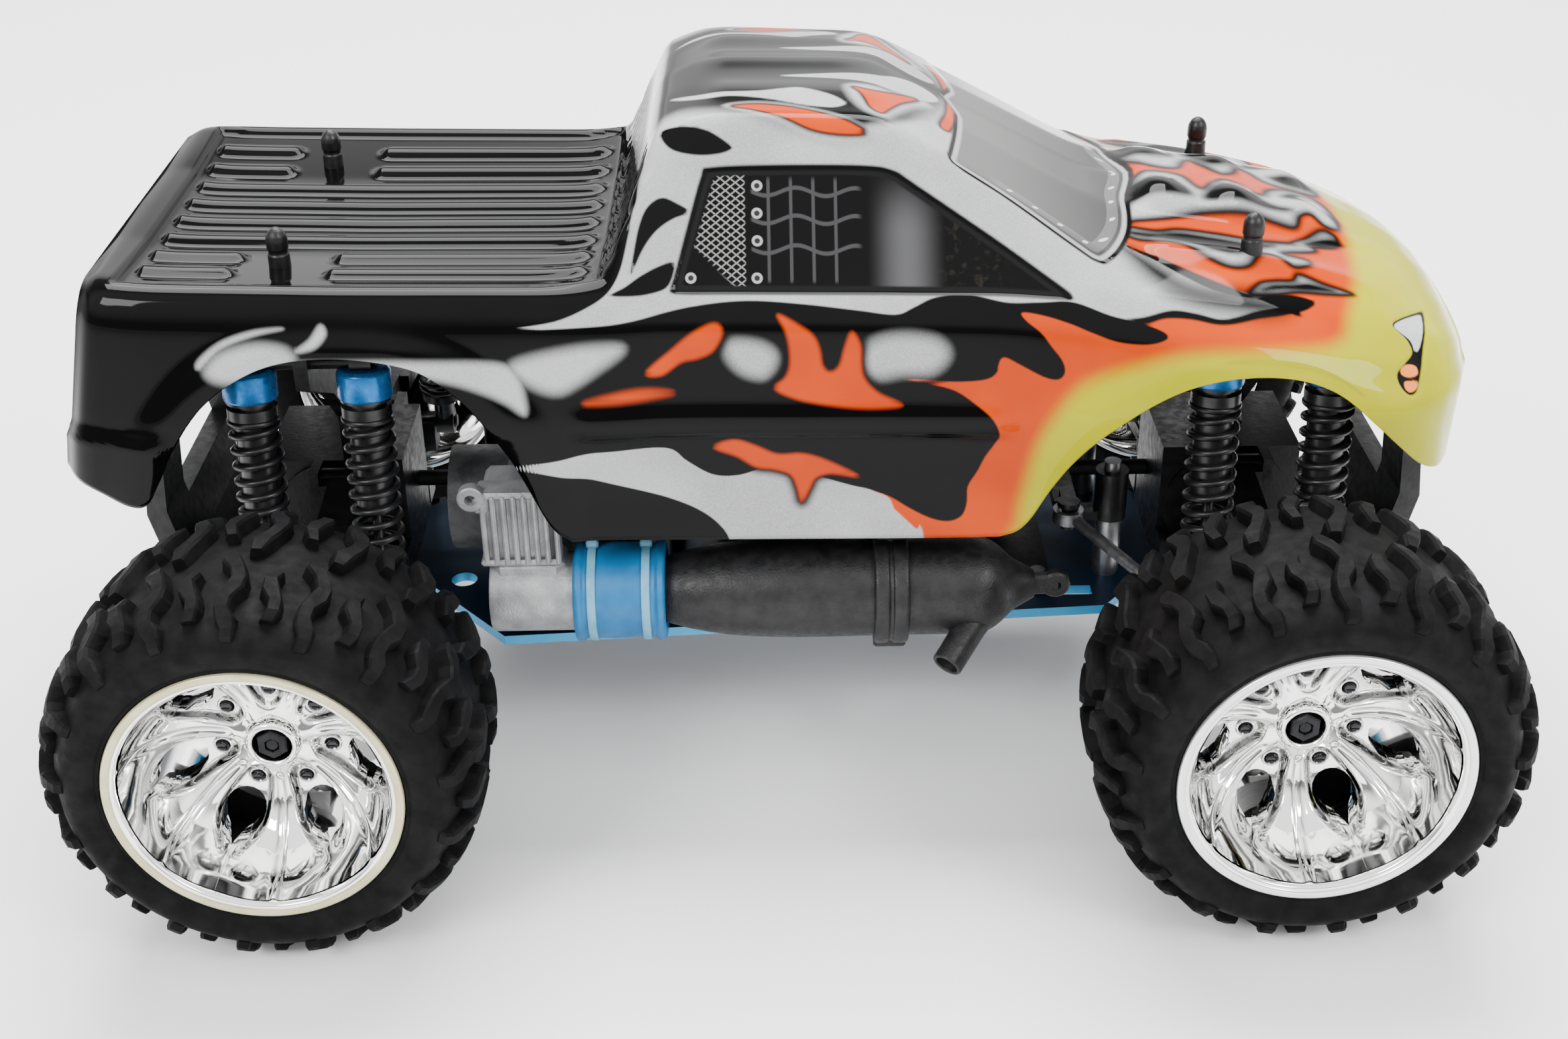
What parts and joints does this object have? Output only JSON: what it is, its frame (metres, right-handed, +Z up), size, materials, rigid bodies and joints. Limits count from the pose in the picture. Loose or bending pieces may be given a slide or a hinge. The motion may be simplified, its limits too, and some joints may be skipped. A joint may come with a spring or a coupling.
{
  "type": "radio-controlled monster truck",
  "caption": "Tenth-scale radio-controlled monster truck with painted pickup body, big lugged tyres, twin shocks per corner, steering, gear train and tuned exhaust.",
  "frame": {"origin": "on the ground, midway between the axles, on the centre plane", "axes": "+X towards the nose, +Y to the truck's left, +Z up"},
  "size_m": [0.394, 0.304, 0.2035],
  "materials": {
    "body_paint": "thin clear shell painted inside: black bed, silver cab, orange flames fading to yellow at the nose",
    "tyre_rubber": "soft black rubber, matte with a slight sheen",
    "rim_plating": "bright chrome plating on moulded plastic",
    "moulded_black": "black moulded nylon, fine grain",
    "steel_links": "plain turned steel",
    "shock_bodies": "black bodies with blue anodised caps",
    "spring_wire": "black powder-coated wire",
    "blue_anodised_plate": "blue anodised sheet, bright cut edges",
    "blue_anodised_head": "deep blue anodised, turned fins",
    "cast_engine": "sand-cast grey aluminium",
    "cast_manifold": "bright cast aluminium",
    "muffler_composite": "black heat-proof composite",
    "blue_silicone": "light blue silicone sleeve",
    "servo_cases": "black moulded case",
    "tank_plastic": "smoked translucent polypropylene",
    "spur_plastic": "black nylon gear on plain steel shafts",
    "clutch_steel": "turned hardened steel"
  },
  "bodies": {
    "chassis": {"chassis_plate": "blue_anodised_plate", "gearbox_housings": "moulded_black", "shock_towers": "moulded_black", "body_posts": "moulded_black", "bumpers": "moulded_black", "radio_tray": "moulded_black", "servos": "servo_cases", "fuel_tank": "tank_plastic", "engine_and_carburettor": "cast_engine", "engine_head": "blue_anodised_head", "exhaust_manifold": "cast_manifold", "muffler": "muffler_composite", "exhaust_coupler": "blue_silicone", "fasteners": "steel_links", "shock_springs": "spring_wire"},
    "body_shell": {"body_shell": "body_paint"},
    "fuel_cap": {"fuel_tank_cap": "tank_plastic"},
    "drivetrain": {"spur_gear_and_shafts": "spur_plastic"},
    "clutch": {"clutch_bell": "clutch_steel"},
    "bellcrank_right": {"bellcrank_right": "moulded_black"},
    "bellcrank_left": {"bellcrank_left": "moulded_black"},
    "drag_link": {"drag_link": "moulded_black"},
    "servo_horn": {"servo_horn": "moulded_black"},
    "servo_link": {"servo_link": "steel_links"},
    "front_left_lower_arm": {"front_left_lower_arm": "moulded_black"},
    "front_left_upper_arm": {"front_left_upper_arm": "moulded_black"},
    "front_left_hub_carrier": {"front_left_hub_carrier": "moulded_black"},
    "front_left_drive_shaft": {"front_left_drive_shaft": "steel_links"},
    "front_left_shock_cylinders": {"front_left_shock_cylinders": "shock_bodies"},
    "front_left_shock_rods": {"front_left_shock_rods": "steel_links"},
    "front_left_wheel": {"front_left_rim": "rim_plating", "front_left_tyre": "tyre_rubber"},
    "front_left_knuckle": {"front_left_knuckle": "moulded_black"},
    "front_left_tie_rod": {"front_left_tie_rod": "steel_links"},
    "front_right_lower_arm": {"front_right_lower_arm": "moulded_black"},
    "front_right_upper_arm": {"front_right_upper_arm": "moulded_black"},
    "front_right_hub_carrier": {"front_right_hub_carrier": "moulded_black"},
    "front_right_drive_shaft": {"front_right_drive_shaft": "steel_links"},
    "front_right_shock_cylinders": {"front_right_shock_cylinders": "shock_bodies"},
    "front_right_shock_rods": {"front_right_shock_rods": "steel_links"},
    "front_right_wheel": {"front_right_rim": "rim_plating", "front_right_tyre": "tyre_rubber"},
    "front_right_knuckle": {"front_right_knuckle": "moulded_black"},
    "front_right_tie_rod": {"front_right_tie_rod": "steel_links"},
    "rear_left_lower_arm": {"rear_left_lower_arm": "moulded_black"},
    "rear_left_upper_arm": {"rear_left_upper_arm": "moulded_black"},
    "rear_left_hub_carrier": {"rear_left_hub_carrier": "moulded_black"},
    "rear_left_drive_shaft": {"rear_left_drive_shaft": "steel_links"},
    "rear_left_shock_cylinders": {"rear_left_shock_cylinders": "shock_bodies"},
    "rear_left_shock_rods": {"rear_left_shock_rods": "steel_links"},
    "rear_left_wheel": {"rear_left_rim": "rim_plating", "rear_left_tyre": "tyre_rubber"},
    "rear_right_lower_arm": {"rear_right_lower_arm": "moulded_black"},
    "rear_right_upper_arm": {"rear_right_upper_arm": "moulded_black"},
    "rear_right_hub_carrier": {"rear_right_hub_carrier": "moulded_black"},
    "rear_right_drive_shaft": {"rear_right_drive_shaft": "steel_links"},
    "rear_right_shock_cylinders": {"rear_right_shock_cylinders": "shock_bodies"},
    "rear_right_shock_rods": {"rear_right_shock_rods": "steel_links"},
    "rear_right_wheel": {"rear_right_rim": "rim_plating", "rear_right_tyre": "tyre_rubber"}
  },
  "joints": [
    {"name": "body_lift", "type": "slide", "parent": "chassis", "child": "body_shell", "axis": [0, 0, 1], "range_m": [0, 0.12]},
    {"name": "fuel_cap_hinge", "type": "hinge", "parent": "chassis", "child": "fuel_cap", "pos_m": [-0.07, 0.0225, 0.0941], "axis": [1, 0, 0], "range_deg": [0, 100]},
    {"name": "drivetrain_spin", "type": "hinge", "parent": "chassis", "child": "drivetrain", "pos_m": [0, 0.006, 0.066], "axis": [1, 0, 0], "continuous": true},
    {"name": "clutch_bell_spin", "type": "hinge", "parent": "chassis", "child": "clutch", "pos_m": [0, -0.018, 0.07225], "axis": [1, 0, 0], "continuous": true},
    {"name": "steering", "type": "hinge", "parent": "chassis", "child": "bellcrank_right", "pos_m": [0.1, -0.026, 0], "axis": [0, 0, 1], "range_deg": [-20, 20]},
    {"name": "bellcrank_left_pivot", "type": "hinge", "parent": "chassis", "child": "bellcrank_left", "pos_m": [0.1, 0.026, 0], "axis": [0, 0, 1], "range_deg": [-20.5, 20.5]},
    {"name": "drag_link_pivot", "type": "hinge", "parent": "bellcrank_right", "child": "drag_link", "pos_m": [0.086, -0.026, 0.0715], "axis": [0, 0, 1], "range_deg": [-20.5, 20.5]},
    {"name": "servo_horn_pivot", "type": "hinge", "parent": "chassis", "child": "servo_horn", "pos_m": [0.06, 0.026, 0.0805], "axis": [0, 0, 1], "range_deg": [-20.5, 20.5]},
    {"name": "servo_link_pivot", "type": "hinge", "parent": "servo_horn", "child": "servo_link", "pos_m": [0.06, 0.012, 0.0844], "axis": [0, 0, 1], "range_deg": [-20.5, 20.5]},
    {"name": "front_left_suspension", "type": "hinge", "parent": "chassis", "child": "front_left_lower_arm", "pos_m": [0.1375, 0.024, 0.054], "axis": [1, 0, 0], "range_deg": [0, 16], "stiffness_Nm_per_rad": 3, "springref_deg": -17.19, "deforming": ["shock_springs"]},
    {"name": "front_left_upper_arm_pivot", "type": "hinge", "parent": "chassis", "child": "front_left_upper_arm", "pos_m": [0.1375, 0.024, 0.082], "axis": [1, 0, 0], "range_deg": [-0.5, 16.5]},
    {"name": "front_left_hub_carrier_pivot", "type": "hinge", "parent": "front_left_lower_arm", "child": "front_left_hub_carrier", "pos_m": [0.1375, 0.086, 0.046], "axis": [1, 0, 0], "range_deg": [-16.5, 0.5]},
    {"name": "front_left_drive_shaft_swing", "type": "hinge", "parent": "chassis", "child": "front_left_drive_shaft", "pos_m": [0.1375, 0.034, 0.066], "axis": [1, 0, 0], "range_deg": [-0.5, 16.5]},
    {"name": "front_left_shock_swing", "type": "hinge", "parent": "chassis", "child": "front_left_shock_cylinders", "pos_m": [0.1375, 0.055, 0.136], "axis": [1, 0, 0], "range_deg": [-1.5, 0.5]},
    {"name": "front_left_shock_stroke", "type": "slide", "parent": "front_left_shock_cylinders", "child": "front_left_shock_rods", "axis": [0, -0.122, 0.9925], "range_m": [-0.0005, 0.0118]},
    {"name": "front_left_knuckle_pivot", "type": "hinge", "parent": "front_left_hub_carrier", "child": "front_left_knuckle", "pos_m": [0.1375, 0.096, 0.058], "axis": [0, 0, 1], "range_deg": [-20.5, 20.5]},
    {"name": "front_left_tie_rod_swing", "type": "hinge", "parent": "drag_link", "child": "front_left_tie_rod", "pos_m": [0.086, 0.034, 0.0715], "axis": [1, 0, 0], "range_deg": [-0.5, 16.5]},
    {"name": "front_left_wheel_spin", "type": "hinge", "parent": "front_left_knuckle", "child": "front_left_wheel", "pos_m": [0.1375, 0.122, 0.058], "axis": [0, 1, 0], "continuous": true},
    {"name": "front_right_suspension", "type": "hinge", "parent": "chassis", "child": "front_right_lower_arm", "pos_m": [0.1375, -0.024, 0.054], "axis": [-1, 0, 0], "range_deg": [0, 16], "stiffness_Nm_per_rad": 3, "springref_deg": -17.19, "deforming": ["shock_springs"]},
    {"name": "front_right_upper_arm_pivot", "type": "hinge", "parent": "chassis", "child": "front_right_upper_arm", "pos_m": [0.1375, -0.024, 0.082], "axis": [-1, 0, 0], "range_deg": [-0.5, 16.5]},
    {"name": "front_right_hub_carrier_pivot", "type": "hinge", "parent": "front_right_lower_arm", "child": "front_right_hub_carrier", "pos_m": [0.1375, -0.086, 0.046], "axis": [-1, 0, 0], "range_deg": [-16.5, 0.5]},
    {"name": "front_right_drive_shaft_swing", "type": "hinge", "parent": "chassis", "child": "front_right_drive_shaft", "pos_m": [0.1375, -0.034, 0.066], "axis": [-1, 0, 0], "range_deg": [-0.5, 16.5]},
    {"name": "front_right_shock_swing", "type": "hinge", "parent": "chassis", "child": "front_right_shock_cylinders", "pos_m": [0.1375, -0.055, 0.136], "axis": [-1, 0, 0], "range_deg": [-1.5, 0.5]},
    {"name": "front_right_shock_stroke", "type": "slide", "parent": "front_right_shock_cylinders", "child": "front_right_shock_rods", "axis": [0, 0.122, 0.9925], "range_m": [-0.0005, 0.0118]},
    {"name": "front_right_knuckle_pivot", "type": "hinge", "parent": "front_right_hub_carrier", "child": "front_right_knuckle", "pos_m": [0.1375, -0.096, 0.058], "axis": [0, 0, 1], "range_deg": [-20.5, 20.5]},
    {"name": "front_right_tie_rod_swing", "type": "hinge", "parent": "drag_link", "child": "front_right_tie_rod", "pos_m": [0.086, -0.034, 0.0715], "axis": [-1, 0, 0], "range_deg": [-0.5, 16.5]},
    {"name": "front_right_wheel_spin", "type": "hinge", "parent": "front_right_knuckle", "child": "front_right_wheel", "pos_m": [0.1375, -0.122, 0.058], "axis": [0, 1, 0], "continuous": true},
    {"name": "rear_left_suspension", "type": "hinge", "parent": "chassis", "child": "rear_left_lower_arm", "pos_m": [-0.1375, 0.024, 0.054], "axis": [1, 0, 0], "range_deg": [0, 16], "stiffness_Nm_per_rad": 3, "springref_deg": -17.19, "deforming": ["shock_springs"]},
    {"name": "rear_left_upper_arm_pivot", "type": "hinge", "parent": "chassis", "child": "rear_left_upper_arm", "pos_m": [-0.1328, 0.024, 0.082], "axis": [1, 0, 0], "range_deg": [-0.5, 16.5]},
    {"name": "rear_left_hub_carrier_pivot", "type": "hinge", "parent": "rear_left_lower_arm", "child": "rear_left_hub_carrier", "pos_m": [-0.1375, 0.086, 0.046], "axis": [1, 0, 0], "range_deg": [-16.5, 0.5]},
    {"name": "rear_left_drive_shaft_swing", "type": "hinge", "parent": "chassis", "child": "rear_left_drive_shaft", "pos_m": [-0.1375, 0.034, 0.066], "axis": [1, 0, 0], "range_deg": [-0.5, 16.5]},
    {"name": "rear_left_shock_swing", "type": "hinge", "parent": "chassis", "child": "rear_left_shock_cylinders", "pos_m": [-0.1328, 0.055, 0.136], "axis": [1, 0, 0], "range_deg": [-1.5, 0.5]},
    {"name": "rear_left_shock_stroke", "type": "slide", "parent": "rear_left_shock_cylinders", "child": "rear_left_shock_rods", "axis": [0, -0.122, 0.9925], "range_m": [-0.0005, 0.0118]},
    {"name": "rear_left_wheel_spin", "type": "hinge", "parent": "rear_left_hub_carrier", "child": "rear_left_wheel", "pos_m": [-0.1375, 0.122, 0.058], "axis": [0, 1, 0], "continuous": true},
    {"name": "rear_right_suspension", "type": "hinge", "parent": "chassis", "child": "rear_right_lower_arm", "pos_m": [-0.1375, -0.024, 0.054], "axis": [-1, 0, 0], "range_deg": [0, 16], "stiffness_Nm_per_rad": 3, "springref_deg": -17.19, "deforming": ["shock_springs"]},
    {"name": "rear_right_upper_arm_pivot", "type": "hinge", "parent": "chassis", "child": "rear_right_upper_arm", "pos_m": [-0.1328, -0.024, 0.082], "axis": [-1, 0, 0], "range_deg": [-0.5, 16.5]},
    {"name": "rear_right_hub_carrier_pivot", "type": "hinge", "parent": "rear_right_lower_arm", "child": "rear_right_hub_carrier", "pos_m": [-0.1375, -0.086, 0.046], "axis": [-1, 0, 0], "range_deg": [-16.5, 0.5]},
    {"name": "rear_right_drive_shaft_swing", "type": "hinge", "parent": "chassis", "child": "rear_right_drive_shaft", "pos_m": [-0.1375, -0.034, 0.066], "axis": [-1, 0, 0], "range_deg": [-0.5, 16.5]},
    {"name": "rear_right_shock_swing", "type": "hinge", "parent": "chassis", "child": "rear_right_shock_cylinders", "pos_m": [-0.1328, -0.055, 0.136], "axis": [-1, 0, 0], "range_deg": [-1.5, 0.5]},
    {"name": "rear_right_shock_stroke", "type": "slide", "parent": "rear_right_shock_cylinders", "child": "rear_right_shock_rods", "axis": [0, 0.122, 0.9925], "range_m": [-0.0005, 0.0118]},
    {"name": "rear_right_wheel_spin", "type": "hinge", "parent": "rear_right_hub_carrier", "child": "rear_right_wheel", "pos_m": [-0.1375, -0.122, 0.058], "axis": [0, 1, 0], "continuous": true}
  ],
  "couplings": [
    {"joint": "clutch_bell_spin", "follows": "drivetrain_spin", "ratio": -2.4444},
    {"joint": "bellcrank_left_pivot", "follows": "steering", "ratio": 1},
    {"joint": "drag_link_pivot", "follows": "steering", "ratio": -1},
    {"joint": "servo_horn_pivot", "follows": "steering", "ratio": 1},
    {"joint": "servo_link_pivot", "follows": "steering", "ratio": -1},
    {"joint": "front_left_upper_arm_pivot", "follows": "front_left_suspension", "ratio": 1},
    {"joint": "front_left_hub_carrier_pivot", "follows": "front_left_suspension", "ratio": -1},
    {"joint": "front_left_drive_shaft_swing", "follows": "front_left_suspension", "ratio": 1},
    {"joint": "front_left_shock_swing", "follows": "front_left_suspension", "ratio": -0.0375},
    {"joint": "front_left_shock_stroke", "follows": "front_left_suspension", "m_per_rad": 0.0405},
    {"joint": "front_left_knuckle_pivot", "follows": "steering", "ratio": 1},
    {"joint": "front_left_tie_rod_swing", "follows": "front_left_suspension", "ratio": 1},
    {"joint": "front_right_upper_arm_pivot", "follows": "front_right_suspension", "ratio": 1},
    {"joint": "front_right_hub_carrier_pivot", "follows": "front_right_suspension", "ratio": -1},
    {"joint": "front_right_drive_shaft_swing", "follows": "front_right_suspension", "ratio": 1},
    {"joint": "front_right_shock_swing", "follows": "front_right_suspension", "ratio": -0.0375},
    {"joint": "front_right_shock_stroke", "follows": "front_right_suspension", "m_per_rad": 0.0405},
    {"joint": "front_right_knuckle_pivot", "follows": "steering", "ratio": 1},
    {"joint": "front_right_tie_rod_swing", "follows": "front_right_suspension", "ratio": 1},
    {"joint": "rear_left_upper_arm_pivot", "follows": "rear_left_suspension", "ratio": 1},
    {"joint": "rear_left_hub_carrier_pivot", "follows": "rear_left_suspension", "ratio": -1},
    {"joint": "rear_left_drive_shaft_swing", "follows": "rear_left_suspension", "ratio": 1},
    {"joint": "rear_left_shock_swing", "follows": "rear_left_suspension", "ratio": -0.0375},
    {"joint": "rear_left_shock_stroke", "follows": "rear_left_suspension", "m_per_rad": 0.0405},
    {"joint": "rear_right_upper_arm_pivot", "follows": "rear_right_suspension", "ratio": 1},
    {"joint": "rear_right_hub_carrier_pivot", "follows": "rear_right_suspension", "ratio": -1},
    {"joint": "rear_right_drive_shaft_swing", "follows": "rear_right_suspension", "ratio": 1},
    {"joint": "rear_right_shock_swing", "follows": "rear_right_suspension", "ratio": -0.0375},
    {"joint": "rear_right_shock_stroke", "follows": "rear_right_suspension", "m_per_rad": 0.0405}
  ]
}
